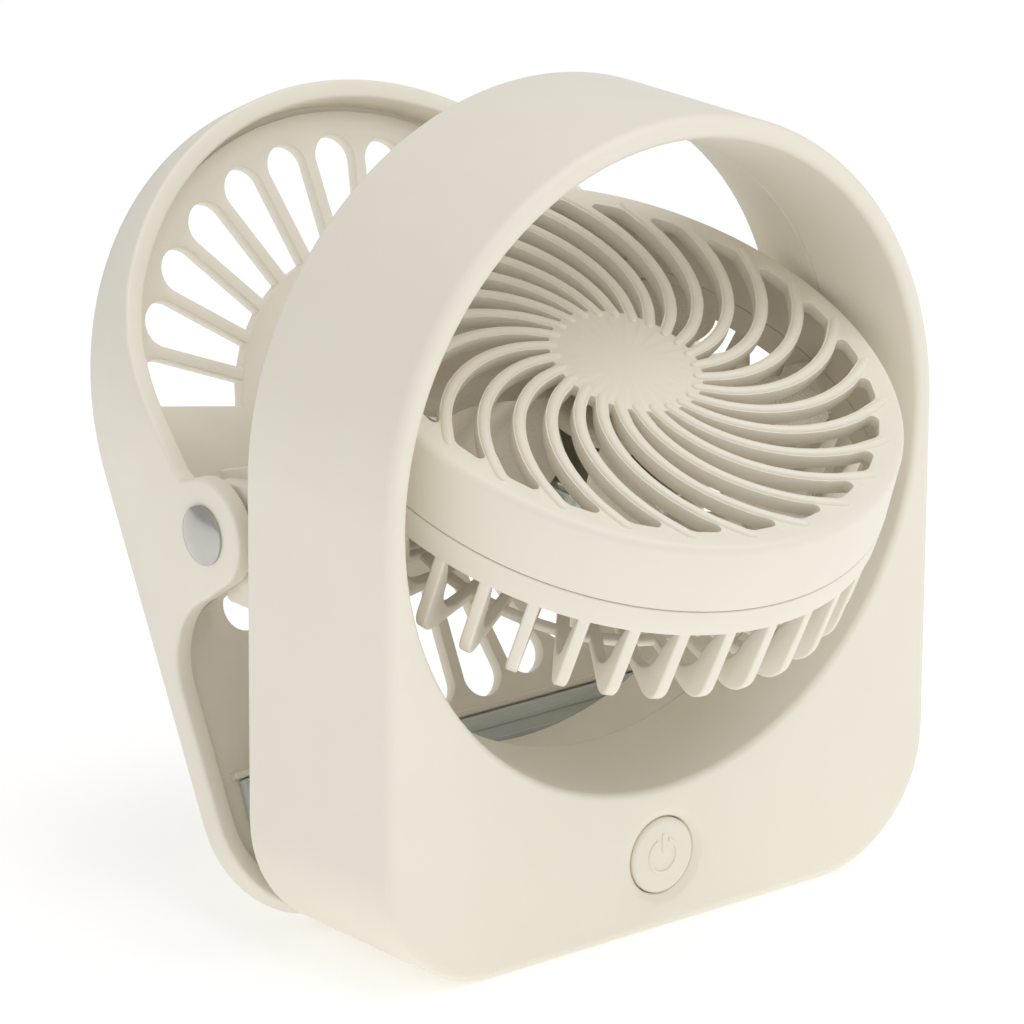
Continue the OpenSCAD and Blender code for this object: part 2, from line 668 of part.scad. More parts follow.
front_housing();
rear_cover();
housing_screws();
control_board();
board_screws();
tact_switch();
charge_port();
battery_cell();
battery_leads();
motor_leads();
pivot_washers();
power_button();
switch_plunger();
head_grille();
head_guard();
head_screws();
pivot_pins();
pivot_clips();
head_leads();
motor_can();
motor_end_cap();
motor_magnets();
motor_bushes();
motor_screws();
fan_blades();
motor_shaft();
motor_armature();
commutator();
clamp_shell();
clamp_pad();
hinge_pins();
hinge_caps();
clamp_springs();
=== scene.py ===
"""Looks of the clip-on desk fan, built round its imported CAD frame.

Shapes are drawn in millimetres in the frame of their part (row, fan head or clamp) and turned into
metres when a mesh is made. Sizes repeat the CAD model's driving dimensions.
"""

import json
from math import acos, atan2, cos, pi, radians, sin, sqrt, tan

import bmesh
import bpy
from mathutils import Matrix, Vector


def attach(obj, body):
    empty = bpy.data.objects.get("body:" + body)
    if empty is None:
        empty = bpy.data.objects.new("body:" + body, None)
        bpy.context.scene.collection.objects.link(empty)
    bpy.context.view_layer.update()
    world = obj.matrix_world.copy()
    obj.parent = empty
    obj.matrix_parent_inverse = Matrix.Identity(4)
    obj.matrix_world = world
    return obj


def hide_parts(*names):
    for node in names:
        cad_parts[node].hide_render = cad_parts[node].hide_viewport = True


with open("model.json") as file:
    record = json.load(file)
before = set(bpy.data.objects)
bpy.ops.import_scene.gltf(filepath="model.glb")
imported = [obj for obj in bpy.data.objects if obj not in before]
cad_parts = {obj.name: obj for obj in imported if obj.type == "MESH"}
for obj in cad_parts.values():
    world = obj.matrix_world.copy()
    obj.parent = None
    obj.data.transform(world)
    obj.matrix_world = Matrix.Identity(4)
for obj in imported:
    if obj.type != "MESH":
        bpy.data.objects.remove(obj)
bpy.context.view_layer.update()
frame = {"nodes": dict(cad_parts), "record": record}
MM = 0.001

# ---------- sizes, as in the CAD model ----------
BODY_W, BODY_H, BODY_D, CORNER_R = 140.0, 165.5, 44.4, 27.0
HALF_D, RING_Z = BODY_D / 2, BODY_H - BODY_W / 2
OPENING_R, REAR_R, WAIST_R, WALL, TUBE_T, REAR_T, SEAM = 65.5, 66.2, 61.8, 2.0, 1.8, 1.3, 0.1
REAR_DROP = 1.3
SCREW_XZ = [(-54, 30), (54, 30), (-47, 7), (47, 7)]
BUTTON_R, BUTTON_Z, DISH_R, DISH_D = 7.8, 15.3, 9.6, 1.0
BUTTON_Y = -HALF_D + 0.5

HEAD_TILT = 65.7
HEAD_FRONT_R, HEAD_SEAM_R, HEAD_FRONT_Z, HEAD_BACK_Z = 57.0, 58.2, 20.7, 19.5
SEAM_Z, BAND_END_Z, HEAD_WALL, RIM_T = 6.2, 0.25, 2.0, 2.4
VANES, VANE_W, VANE_T, VANE_PROUD, VANE_SWEEP, VANE_PHASE = 26, 2.5, 3.6, 0.4, 49.0, 4.4
VANE_R = (13.6, 53.5)
RIDGE_HALF, RIDGE_PROUD = 1.05, 0.65
SLOT_R, SLOT_INNER_ROUND, SLOT_ACUTE, SLOT_OBTUSE = (15.6, 51.8), 0.35, 1.2, 3.0
FINS, FIN_T, FIN_LEG, FIN_SIDE, FIN_CORNER_R, FIN_WINDOW_R = 36, 2.5, 2.2, 4.2, 6.0, 10.0
GUARD_HUB_R, GUARD_HUB_T, GUARD_RING_R = 24.0, 2.6, 38.0
HEAD_SCREW_A = (45, 135, 225, 315)
HEAD_BOSS_R, HEAD_BOSS_T = 53.6, 2.9
PIVOT_R = 3.5
BLADES, BLADE_R, BLADE_Z, BLADE_T, BLADE_PHASE = 7, 48.0, (2.6, 15.2), 1.3, 36
HUB_R, HUB_Z, HUB_BOSS_Z, CAN_R, CAN_Z, SHAFT_R = 16.2, (10.0, 13.0), 4.4, 20.4, (-14.0, 1.5), 1.5

CLAMP_LEAN, HINGE_Y, HINGE_Z = 26.8, 36.8, 81.1
CLAMP_R, CLAMP_TOP, CLAMP_LOW, CLAMP_CORNER_R, RIM_W, CLAMP_FLARE = 68.7, 17.4, -76.6, 22.0, 4.0, 0.016
PLATE_Z, PLATE_T, GROOVE_W, GROOVE_D = -24.3, 3.0, 1.2, 1.4
SLOT_Y, SPOKE_W = 17.4, 2.6
UPPER_FAN = (12, 13.2, (34.5, 53.6), 0)  # slots, degrees between them, radii, turn
LOWER_FAN = (10, 12.3, (34.5, 56.8), 178.9)
EAR_R, LUG_X, INNER_EAR_X = 11.2, (58.0, 63.9), (55.0, 57.6)
PAD_Y, PAD_T, PAD_HALF = (-72.5, -47.0), 2.0, 61.0
SPRING_R, SPRING_WIRE, SPRING_TURNS, SPRING_X = 4.6, 1.1, 3, 52.6

ROW = Matrix.Identity(4)
HEAD = Matrix.Translation((0, 0, RING_Z)) @ Matrix.Rotation(radians(90 - HEAD_TILT), 4, "X")
IN_YZ = Matrix(((0, 0, 1, 0), (1, 0, 0, 0), (0, 1, 0, 0), (0, 0, 0, 1)))  # drawn in y and z, pulled along x
CLAMP = Matrix.Translation((0, HINGE_Y, HINGE_Z)) @ Matrix.Rotation(radians(90 - CLAMP_LEAN), 4, "X")


VIEW_AZIMUTH, VIEW_ELEVATION, VIEW_ROLL = 40.574, 18.025, 0.622
VIEW_DISTANCE, VIEW_CENTRE_Z, VIEW_LENS, VIEW_SHIFT = 1.31444, 0.085, 234.9, (-0.08196, -0.01789)
WORLD_TONE, WORLD_STRENGTH = (1, 1, 0.995), 0.56
LIGHT_AIM = (0, 0, 0.09)
LIGHTS = [("top", (0.25, -0.45, 1.4), 1.3, 8.0), ("key", (-0.9, -1.3, 0.35), 1.1, 0.35),
          ("fill", (1.2, -1.1, 0.25), 1.0, 0.35)]  # name, place in m, size in m, watts
FLOOR_SIZE, FLOOR_DROP, FLOOR_TONE, FLOOR_ROUGH, FLOOR_GLOW = 8, 0.0002, 0.96, 0.9, 0.32


# ---------- camera, lights and floor ----------
def make_camera():
    azimuth, elevation, roll = radians(VIEW_AZIMUTH), radians(VIEW_ELEVATION), radians(VIEW_ROLL)
    right = Vector((cos(azimuth), -sin(azimuth), 0))
    ahead = Vector((sin(azimuth) * cos(elevation), cos(azimuth) * cos(elevation), -sin(elevation)))
    up = right.cross(ahead)
    side = cos(roll) * right + sin(roll) * up
    top = cos(roll) * up - sin(roll) * right
    place = Matrix((side, top, -ahead)).transposed().to_4x4()
    place.translation = Vector((0, 0, VIEW_CENTRE_Z)) - VIEW_DISTANCE * ahead
    data = bpy.data.cameras.new("camera")
    data.lens, data.sensor_width = VIEW_LENS, 36
    data.shift_x, data.shift_y = VIEW_SHIFT
    data.clip_start, data.clip_end = 0.05, 20
    camera = bpy.data.objects.new("camera", data)
    camera.matrix_world = place
    bpy.context.scene.collection.objects.link(camera)
    bpy.context.scene.camera = camera


def area_light(name, place, aim, size, power):
    data = bpy.data.lights.new(name, "AREA")
    data.size, data.energy = size, power
    lamp = bpy.data.objects.new(name, data)
    lamp.location = place
    lamp.rotation_euler = (Vector(aim) - Vector(place)).to_track_quat("-Z", "Y").to_euler()
    bpy.context.scene.collection.objects.link(lamp)


def make_studio():
    scene = bpy.context.scene
    scene.view_settings.view_transform = "Standard"
    world = bpy.data.worlds.new("studio")
    world.use_nodes = True
    world.node_tree.nodes["Background"].inputs["Color"].default_value = (*WORLD_TONE, 1)
    world.node_tree.nodes["Background"].inputs["Strength"].default_value = WORLD_STRENGTH
    scene.world = world
    for name, place, size, power in LIGHTS:
        area_light(name, place, LIGHT_AIM, size, power)
    bpy.ops.mesh.primitive_plane_add(size=FLOOR_SIZE, location=(0, 0, -FLOOR_DROP))
    floor = bpy.context.object
    floor.name = "floor"
    mat, _, shader = new_material("floor_white")
    shader.inputs["Base Color"].default_value = (FLOOR_TONE, FLOOR_TONE, FLOOR_TONE, 1)
    shader.inputs["Roughness"].default_value = FLOOR_ROUGH
    shader.inputs["Specular IOR Level"].default_value = 0
    shader.inputs["Emission Color"].default_value = (1, 1, 1, 1)
    shader.inputs["Emission Strength"].default_value = FLOOR_GLOW
    floor.data.materials.append(mat)


# ---------- materials ----------
def new_material(name):
    mat = bpy.data.materials.new(name)
    mat.use_nodes = True
    return mat, mat.node_tree, mat.node_tree.nodes["Principled BSDF"]


def finish(name, tones, rough, grain=0.4, bump=0.010, metal=0.0, cloud=12.0, rough_swing=0.06,
           stretch=(1, 1, 1), subsurface=0.0):
    """Procedural finish: two tones mixed by a broad noise, and a fine grain (mm) for bump and roughness."""
    mat, tree, shader = new_material(name)
    nodes, links = tree.nodes, tree.links
    coords = nodes.new("ShaderNodeTexCoord")
    mapping = nodes.new("ShaderNodeMapping")
    mapping.inputs["Scale"].default_value = stretch
    links.new(coords.outputs["Object"], mapping.inputs["Vector"])
    broad = nodes.new("ShaderNodeTexNoise")
    broad.inputs["Scale"].default_value = 1000 / cloud
    broad.inputs["Detail"].default_value = 3
    links.new(mapping.outputs["Vector"], broad.inputs["Vector"])
    ramp = nodes.new("ShaderNodeValToRGB")
    ramp.color_ramp.elements[0].position, ramp.color_ramp.elements[1].position = 0.35, 0.65
    for element, tone in zip(ramp.color_ramp.elements, tones):
        element.color = (*tone, 1)
    links.new(broad.outputs["Fac"], ramp.inputs["Fac"])
    links.new(ramp.outputs["Color"], shader.inputs["Base Color"])
    fine = nodes.new("ShaderNodeTexNoise")
    fine.inputs["Scale"].default_value = 1000 / grain
    fine.inputs["Detail"].default_value = 2
    links.new(mapping.outputs["Vector"], fine.inputs["Vector"])
    spread = nodes.new("ShaderNodeMapRange")
    spread.inputs["From Min"].default_value, spread.inputs["From Max"].default_value = 0.3, 0.7
    spread.inputs["To Min"].default_value = rough - rough_swing
    spread.inputs["To Max"].default_value = rough + rough_swing
    links.new(fine.outputs["Fac"], spread.inputs["Value"])
    links.new(spread.outputs["Result"], shader.inputs["Roughness"])
    height = nodes.new("ShaderNodeBump")
    height.inputs["Distance"].default_value = bump * MM
    height.inputs["Strength"].default_value = 1
    links.new(fine.outputs["Fac"], height.inputs["Height"])
    links.new(height.outputs["Normal"], shader.inputs["Normal"])
    shader.inputs["Metallic"].default_value = metal
    shader.inputs["Subsurface Weight"].default_value = subsurface
    shader.inputs["Subsurface Radius"].default_value = (0.0015, 0.0010, 0.0007)
    shader.inputs["Subsurface Scale"].default_value = 1.0
    return mat


MATERIALS = {
    "ivory_plastic": finish("ivory_abs", ((0.884, 0.834, 0.722), (0.892, 0.844, 0.734)), 0.42, 0.35, 0.006),
    "blade_plastic": finish("blade_abs", ((0.760, 0.700, 0.600), (0.780, 0.722, 0.622)), 0.30, 0.5, 0.004),
    "steel": finish("plated_steel", ((0.50, 0.50, 0.49), (0.58, 0.58, 0.57)), 0.34, 0.2, 0.006, metal=1),
    "nickel": finish("nickel_plate", ((0.40, 0.42, 0.38), (0.48, 0.49, 0.45)), 0.22, 0.6, 0.003, metal=1),
    # Chrome base tone is set darker and browner than bare chrome: a painted reflection of dark, brownish
    # surroundings.
    "chrome": finish("chrome_painted_dark_reflection", ((0.46, 0.44, 0.41), (0.52, 0.50, 0.47)), 0.16, 0.8, 0.001, metal=1,
                     rough_swing=0.03),
    "spring_steel": finish("spring_steel", ((0.34, 0.34, 0.33), (0.42, 0.42, 0.41)), 0.38, 0.15, 0.008,
                           metal=1),
    "silicone": finish("grey_silicone", ((0.640, 0.660, 0.640), (0.680, 0.695, 0.670)), 0.42, 0.6, 0.01,
                       subsurface=0.3),
    "circuit_board": finish("solder_mask", ((0.015, 0.10, 0.04), (0.03, 0.17, 0.07)), 0.35, 0.5, 0.01,
                            cloud=1.5),
    "black_plastic": finish("black_abs", ((0.018, 0.018, 0.019), (0.032, 0.032, 0.033)), 0.5, 0.3, 0.01),
    "cell_wrap": finish("cell_sleeve", ((0.02, 0.20, 0.25), (0.03, 0.26, 0.31)), 0.28, 1.5, 0.01),
    "wire": finish("wire_pvc", ((0.30, 0.02, 0.015), (0.40, 0.035, 0.025)), 0.45, 0.5, 0.006),
    "wire_white": finish("wire_pvc_ivory", ((0.74, 0.70, 0.62), (0.78, 0.74, 0.66)), 0.42, 0.5, 0.006),
    "white_nylon": finish("white_nylon", ((0.76, 0.76, 0.73), (0.82, 0.82, 0.79)), 0.45, 0.4, 0.008),
    "magnet": finish("ferrite", ((0.05, 0.05, 0.055), (0.09, 0.09, 0.095)), 0.65, 0.2, 0.02, metal=0.3),
    "bronze": finish("sintered_bronze", ((0.42, 0.26, 0.10), (0.55, 0.36, 0.16)), 0.42, 0.15, 0.015,
                     metal=1),
    "copper_winding": finish("enamelled_copper", ((0.30, 0.10, 0.04), (0.45, 0.18, 0.07)), 0.32, 0.3, 0.02,
                             metal=0.8, stretch=(1, 1, 6)),
}


# ---------- outlines ----------
def rounded(corners, steps=5, closed=True):
    """Polyline through corners (x, y) or (x, y, radius), with those that have a radius made round."""
    line, count = [], len(corners)
    for i, corner in enumerate(corners):
        here = Vector(corner[:2])
        radius = corner[2] if len(corner) > 2 else 0
        if not radius or (not closed and i in (0, count - 1)):
            line.append(tuple(here))
            continue
        before = (Vector(corners[i - 1][:2]) - here).normalized()
        after = (Vector(corners[(i + 1) % count][:2]) - here).normalized()
        half = acos(max(-1, min(1, before.dot(after)))) / 2
        centre = here + (before + after).normalized() * radius / sin(half)
        first = here + before * radius / tan(half) - centre
        last = here + after * radius / tan(half) - centre
        start = atan2(first.y, first.x)
        turn = (atan2(last.y, last.x) - start + pi) % (2 * pi) - pi
        line += [(centre.x + radius * cos(start + turn * k / steps),
                  centre.y + radius * sin(start + turn * k / steps)) for k in range(steps + 1)]
    return line


def round_top_outline(half_w, arc_y, low_y, corner_r, inset=0.0, arc=112, side=14, corner=14, base=18):
    """Straight-sided shape under a half circle, with round lower corners; the same count at any inset."""
    r, c, cx = half_w - inset, corner_r - inset, half_w - corner_r
    line = [(r * cos(pi * k / arc), arc_y + r * sin(pi * k / arc)) for k in range(arc)]
    line += [(-r, arc_y + (low_y + corner_r - arc_y) * k / side) for k in range(side)]
    line += [(-cx + c * cos(pi + pi / 2 * k / corner), low_y + corner_r + c * sin(pi + pi / 2 * k / corner))
             for k in range(corner)]
    line += [(-cx + 2 * cx * k / base, low_y + inset) for k in range(base)]
    line += [(cx + c * cos(1.5 * pi + pi / 2 * k / corner),
              low_y + corner_r + c * sin(1.5 * pi + pi / 2 * k / corner)) for k in range(corner)]
    line += [(r, low_y + corner_r + (arc_y - low_y - corner_r) * k / side) for k in range(side)]
    return line


# ---------- meshes ----------
class Form:
    """Points and faces of one or more closed surfaces, in mm."""

    def __init__(self):
        self.points, self.faces = [], []

    def loft(self, rings, wrap=False, place=ROW):
        """Joins rings of the same count; wrap joins the last to the first, else both ends get a cap."""
        base, count = len(self.points), len(rings[0])
        for ring in rings:
            self.points += [place @ Vector(p) for p in ring]
        last = len(rings) if wrap else len(rings) - 1
        for i in range(last):
            a, b = base + i * count, base + (i + 1) % len(rings) * count
            self.faces += [(a + k, a + (k + 1) % count, b + (k + 1) % count, b + k) for k in range(count)]
        if not wrap:
            self.faces.append(tuple(base + k for k in reversed(range(count))))
            self.faces.append(tuple(base + last * count + k for k in range(count)))
        return self

    def lathe(self, profile, wrap=False, place=ROW, count=144):
        """Turns a profile of (radius, z) about z. Radii stay above zero; an open profile gets flat caps."""
        turn = [(cos(2 * pi * k / count), sin(2 * pi * k / count)) for k in range(count)]
        return self.loft([[(r * c, r * s, z) for c, s in turn] for r, z in profile], wrap, place)

    def slab(self, outline, z0, z1, edge, place=ROW, steps=3):
        """Outline pulled from z0 to z1 with its edges rounded by edge. The outline runs anticlockwise."""
        count, inward = len(outline), []
        for k in range(count):
            a, p, b = (Vector(outline[(k + d) % count]) for d in (-1, 0, 1))
            n1 = Vector((a.y - p.y, p.x - a.x)).normalized()
            n2 = Vector((p.y - b.y, b.x - p.x)).normalized()
            inward.append((n1 + n2) / max(0.5, 1 + n1.dot(n2)))
        rings = []
        for low in (True, False):
            for k in (range(steps + 1) if low else reversed(range(steps + 1))):
                a = pi / 2 * k / steps
                z = z0 + edge * (1 - cos(a)) if low else z1 - edge * (1 - cos(a))
                d = edge * (1 - sin(a))
                rings.append([(p[0] + n.x * d, p[1] + n.y * d, z) for p, n in zip(outline, inward)])
        return self.loft(rings, False, place)

    def prism(self, outline, z0, z1, place=ROW):
        """Outline pulled straight from z0 to z1."""
        return self.loft([[(x, y, z) for x, y in outline] for z in (z0, z1)], False, place)

    def tube(self, path, radius, place=ROW, count=12):
        """Round tube along path points."""
        rings = []
        for i, p in enumerate(path):
            here = Vector(p)
            ahead = (Vector(path[min(i + 1, len(path) - 1)]) - Vector(path[max(i - 1, 0)])).normalized()
            side = ahead.cross(Vector((0.31, 0.17, 0.93))).normalized() if i == 0 else \
                (side - ahead * side.dot(ahead)).normalized()
            other = ahead.cross(side)
            rings.append([here + radius * (cos(2 * pi * k / count) * side + sin(2 * pi * k / count) * other)
                          for k in range(count)])
        return self.loft(rings, False, place)

    def make(self, name):
        mesh = bpy.data.meshes.new(name)
        mesh.from_pydata([tuple(MM * c for c in p) for p in self.points], [], self.faces)
        mesh.update()
        obj = bpy.data.objects.new(name, mesh)
        bpy.context.scene.collection.objects.link(obj)
        bm = bmesh.new()
        bm.from_mesh(mesh)
        bmesh.ops.recalc_face_normals(bm, faces=bm.faces)
        bm.to_mesh(mesh)
        bm.free()
        return obj


def bake_modifiers(obj):
    bpy.context.view_layer.update()
    mesh = bpy.data.meshes.new_from_object(obj.evaluated_get(bpy.context.evaluated_depsgraph_get()))
    obj.modifiers.clear()
    obj.data = mesh


def cut(obj, tool_form):
    """Takes a form out of obj and throws the tool away."""
    tool = tool_form.make("tool")
    modifier = obj.modifiers.new("cut", "BOOLEAN")
    modifier.object, modifier.operation, modifier.solver = tool, "DIFFERENCE", "EXACT"
    bake_modifiers(obj)
    bpy.data.objects.remove(tool)
    return obj


def soften(obj, width, angle=50, segments=3):
    """Rounds the sharp edges of obj by width, in mm."""
    modifier = obj.modifiers.new("soften", "BEVEL")
    modifier.width, modifier.segments = width * MM, segments
    modifier.limit_method, modifier.angle_limit = "ANGLE", radians(angle)
    modifier.use_clamp_overlap = True
    bake_modifiers(obj)
    return obj


def settle(obj, body, slot, *nodes, angle=38):
    """Gives a finished piece the material of its slot, smooth shading and its body, and hides the CAD nodes
    it stands for.
    """
    obj.data.materials.clear()
    obj.data.materials.append(MATERIALS[slot])
    obj.data.polygons.foreach_set("use_smooth", [True] * len(obj.data.polygons))
    obj.data.set_sharp_from_angle(angle=radians(angle))
    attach(obj, body)
    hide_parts(*nodes)
    return obj


# ---------- housing ----------
def housing_ring(inset, y):
    return [(x, y, z) for x, z in round_top_outline(BODY_W / 2, RING_Z, 0, CORNER_R, inset)]


def opening_ring(radius, y):
    """Ring of the round opening, its points in line with the outline's and its back edge a little low."""
    line, drop = [], REAR_DROP * max(0, y) / HALF_D
    for x, z in round_top_outline(BODY_W / 2, RING_Z, 0, CORNER_R):
        a = atan2(z - RING_Z, x)
        line.append((radius * cos(a), y, RING_Z + radius * sin(a) - drop))
    return line


def housing_front():
    lip = rounded([(2.45, -HALF_D), (0, -HALF_D, 2.4), (0, HALF_D, 1.7), (WALL, HALF_D),
                   (WALL, -HALF_D + WALL)], 7, closed=False)
    rings = [housing_ring(d, y) for d, y in lip]
    wall = rounded([(OPENING_R + TUBE_T - 0.35, -HALF_D + WALL), (WAIST_R + TUBE_T, -SEAM),
                    (WAIST_R, -SEAM, 0.35), (OPENING_R, -HALF_D, 1.5), (OPENING_R + 1.6, -HALF_D)],
                   6, closed=False)
    rings += [opening_ring(r, y) for r, y in wall]
    obj = Form().loft(rings, wrap=True).make("housing_front")
    along_y = Matrix.Translation((0, 0, BUTTON_Z)) @ Matrix.Rotation(radians(90), 4, "X")
    dish = rounded([(DISH_R + 0.5, 25), (DISH_R + 0.5, HALF_D), (DISH_R, HALF_D - 0.15),
                    (BUTTON_R + 0.5, HALF_D - DISH_D, 0.5), (BUTTON_R + 0.2, HALF_D - DISH_D - 0.4),
                    (BUTTON_R + 0.2, 15)], 4, closed=False)
    cut(obj, Form().lathe(dish, place=along_y))
    port = rounded([(-5.9, 15.2, 1.85), (-5.9, 24.8, 1.85), (-9.7, 24.8, 1.85), (-9.7, 15.2, 1.85)], 6)
    cut(obj, Form().prism(port, 60, 72, IN_YZ))
    settle(obj, "stand", "ivory_plastic", "front_housing")


def lug_outline():
    """Hinge lug in y and z: round end on the hinge axis over a square foot."""
    end = [(HINGE_Y + 9.6 * cos(radians(a)), HINGE_Z + 9.6 * sin(radians(a))) for a in range(-80, 81, 10)]
    return rounded([(HALF_D - 1, 66.8), (HINGE_Y - 0.8, 66.8, 1.2), (HINGE_Y + 0.2, HINGE_Z - 9.6, 1),
                    *end, (HALF_D - 1, 93.2)], 5)


def web_outline():
    """Thin web on the lug's inner side, higher than the lug."""
    return rounded([(HALF_D - 1, 75), (44, 80), (44, 90.7, 1.0), (HALF_D - 1, 98.2)], 4)


def housing_rear():
    form = Form()
    plate = rounded([(WALL + 0.5, HALF_D), (WALL + 0.12, HALF_D, 0.35), (WALL + 0.12, HALF_D - WALL)], 4,
                    closed=False)
    wall = rounded([(REAR_R + REAR_T - 0.2, HALF_D - WALL), (WAIST_R + TUBE_T, SEAM),
                    (WAIST_R, SEAM, 0.35), (REAR_R, HALF_D, 0.8), (REAR_R + 0.9, HALF_D)], 5, closed=False)
    form.loft([housing_ring(d, y) for d, y in plate] + [opening_ring(r, y) for r, y in wall], wrap=True)
    obj = form.make("housing_rear")
    holes = Form()
    for x, z in SCREW_XZ:
        place = Matrix.Translation((x, 0, z)) @ Matrix.Rotation(radians(-90), 4, "X")
        holes.lathe([(2.6, HALF_D - 1.15), (2.6, HALF_D - 0.2), (3.0, HALF_D + 0.2), (3.0, HALF_D + 1)],
                    place=place, count=40)
    cut(obj, holes)
    lugs = Form()
    for side in (-1, 1):
        a, b = sorted((side * LUG_X[0], side * LUG_X[1]))
        lugs.slab(lug_outline(), a, b, 0.6, IN_YZ)
        a, b = sorted((side * (LUG_X[0] - 0.05), side * (LUG_X[0] + 1.4)))
        lugs.slab(web_outline(), a, b, 0.5, IN_YZ)
    extra = lugs.make("lugs")
    join(obj, extra)
    settle(obj, "stand", "ivory_plastic", "rear_cover")


def join(obj, *others):
    """Adds the others' meshes to obj's."""
    bm = bmesh.new()
    for o in (obj, *others):
        bm.from_mesh(o.data)
    bm.to_mesh(obj.data)
    bm.free()
    for o in others:
        bpy.data.objects.remove(o)
    return obj


# ---------- button ----------
def power_button():
    form = Form()
    place = Matrix.Translation((0, 0, BUTTON_Z)) @ Matrix.Rotation(radians(90), 4, "X")
    top = -BUTTON_Y
    form.lathe(rounded([(0.5, top), (BUTTON_R, top, 0.8), (BUTTON_R, 17.2), (BUTTON_R + 1.4, 17.2),
                        (BUTTON_R + 1.4, 16.3), (0.5, 16.3)], 5, closed=False), place=place, count=96)
    gap = 22
    arc = [90 + gap + (360 - 2 * gap) * k / 48 for k in range(49)]
    outer = [(3.9 * cos(radians(a)), 3.9 * sin(radians(a))) for a in arc]
    inner = [(3.1 * cos(radians(a)), 3.1 * sin(radians(a))) for a in reversed(arc)]
    form.slab(outer + inner, top - 0.3, top + 0.28, 0.18, place)
    bar = rounded([(-0.42, 0.7, 0.4), (0.42, 0.7, 0.4), (0.42, 4.7, 0.4), (-0.42, 4.7, 0.4)], 5)
    form.slab(bar, top - 0.3, top + 0.28, 0.18, place)
    form.lathe([(2, 16.5), (2, 15.6)], place=place, count=32)
    settle(form.make("button_cap"), "button", "ivory_plastic", "power_button")


# ---------- fan head ----------
def vane_angle(r):
    t = (r - VANE_R[0]) / (VANE_R[1] - VANE_R[0])
    return radians(VANE_SWEEP * (0.85 * t + 0.15 * t * t))


def vane_rings(turn):
    """Cross-sections of one curved ridge: flat sides under a round top, with round ends."""
    top, bottom, half = HEAD_FRONT_Z + RIDGE_PROUD, HEAD_FRONT_Z + VANE_PROUD - VANE_T, RIDGE_HALF
    stations = [VANE_R[0] + half * (1 - cos(pi / 2 * k / 5)) for k in range(5)]
    stations += [VANE_R[0] + half + (VANE_R[1] - VANE_R[0] - 2 * half) * k / 26 for k in range(27)]
    stations += [VANE_R[1] - half * (1 - sin(pi / 2 * k / 5)) for k in range(1, 6)]
    rings = []
    for r in stations:
        edge = min(r - VANE_R[0], VANE_R[1] - r, half) / half
        full = max(0.12, sqrt(max(0, 1 - (1 - edge) ** 2)))
        a = turn + vane_angle(r)
        centre = Vector((r * cos(a), r * sin(a)))
        slope = r * (vane_angle(r + 0.1) - vane_angle(r - 0.1)) / 0.2
        ahead = Vector((cos(a) - slope * sin(a), sin(a) + slope * cos(a))).normalized()
        across = Vector((-ahead.y, ahead.x))
        crown = top - 0.45 * (1 - full)
        section = [(-half * 0.86, bottom), (-half, crown - 1.3)]
        section += [(-half * cos(pi * k / 10), crown - 1.1 + 1.1 * sin(pi * k / 10) ** 0.75)
                    for k in range(1, 10)]
        section += [(half, crown - 1.3), (half * 0.86, bottom)]
        rings.append([(centre.x + w * full * across.x, centre.y + w * full * across.y, z)
                      for w, z in section])
    return rings


def spiral(turn, side, count=16):
    """One edge of a flat grille bar, half a bar's width beside its centre line, from the disc outwards."""
    points = []
    for k in range(count + 1):
        r = SLOT_R[0] + (SLOT_R[1] - SLOT_R[0]) * k / count
        slope = r * (vane_angle(r + 0.1) - vane_angle(r - 0.1)) / 0.2
        a = turn + vane_angle(r) + side * VANE_W / 2 * sqrt(1 + slope * slope) / r
        points.append((r * cos(a), r * sin(a)))
    return points


def grille_slot(i):
    """Outline of the slot between bar i and the next one, anticlockwise, with round corners."""
    low = spiral(radians(VANE_PHASE + 360 * i / VANES), 1)
    high = spiral(radians(VANE_PHASE + 360 * (i + 1) / VANES), -1)
    inner = SLOT_INNER_ROUND
    keep = slice(2, -2)
    return rounded([(*low[0], inner), *low[keep], (*low[-1], SLOT_OBTUSE), (*high[-1], SLOT_ACUTE),
                    *high[keep][::-1], (*high[0], inner)], 5)


def head_grille():
    form = Form()
    under = HEAD_FRONT_Z - RIM_T
    form.lathe(rounded([(0.5, HEAD_FRONT_Z), (HEAD_FRONT_R, HEAD_FRONT_Z, 1.9),
                        (HEAD_SEAM_R, SEAM_Z + 0.12, 0.3), (HEAD_SEAM_R - HEAD_WALL, SEAM_Z + 0.12),
                        (HEAD_FRONT_R - HEAD_WALL - 0.5, under, 0.8), (0.5, under)], 5, closed=False),
               place=HEAD, count=180)
    obj, slots = form.make("front_grille"), Form()
    for i in range(VANES):
        slots.prism(grille_slot(i), under - 1, HEAD_FRONT_Z + 1, HEAD)
    cut(obj, slots)
    soften(obj, 0.4, 60, 2)
    form = Form()
    for i in range(VANES):
        form.loft(vane_rings(radians(VANE_PHASE + 360 * i / VANES)), place=HEAD)
    for a in HEAD_SCREW_A:
        place = HEAD @ Matrix.Rotation(radians(a), 4, "Z") @ Matrix.Translation((HEAD_BOSS_R, 0, 0))
        form.lathe([(HEAD_BOSS_T, SEAM_Z + 0.12), (HEAD_BOSS_T, under + 0.1)], place=place, count=32)
    join(obj, form.make("ridges"))
    settle(obj, "head", "ivory_plastic", "head_grille")


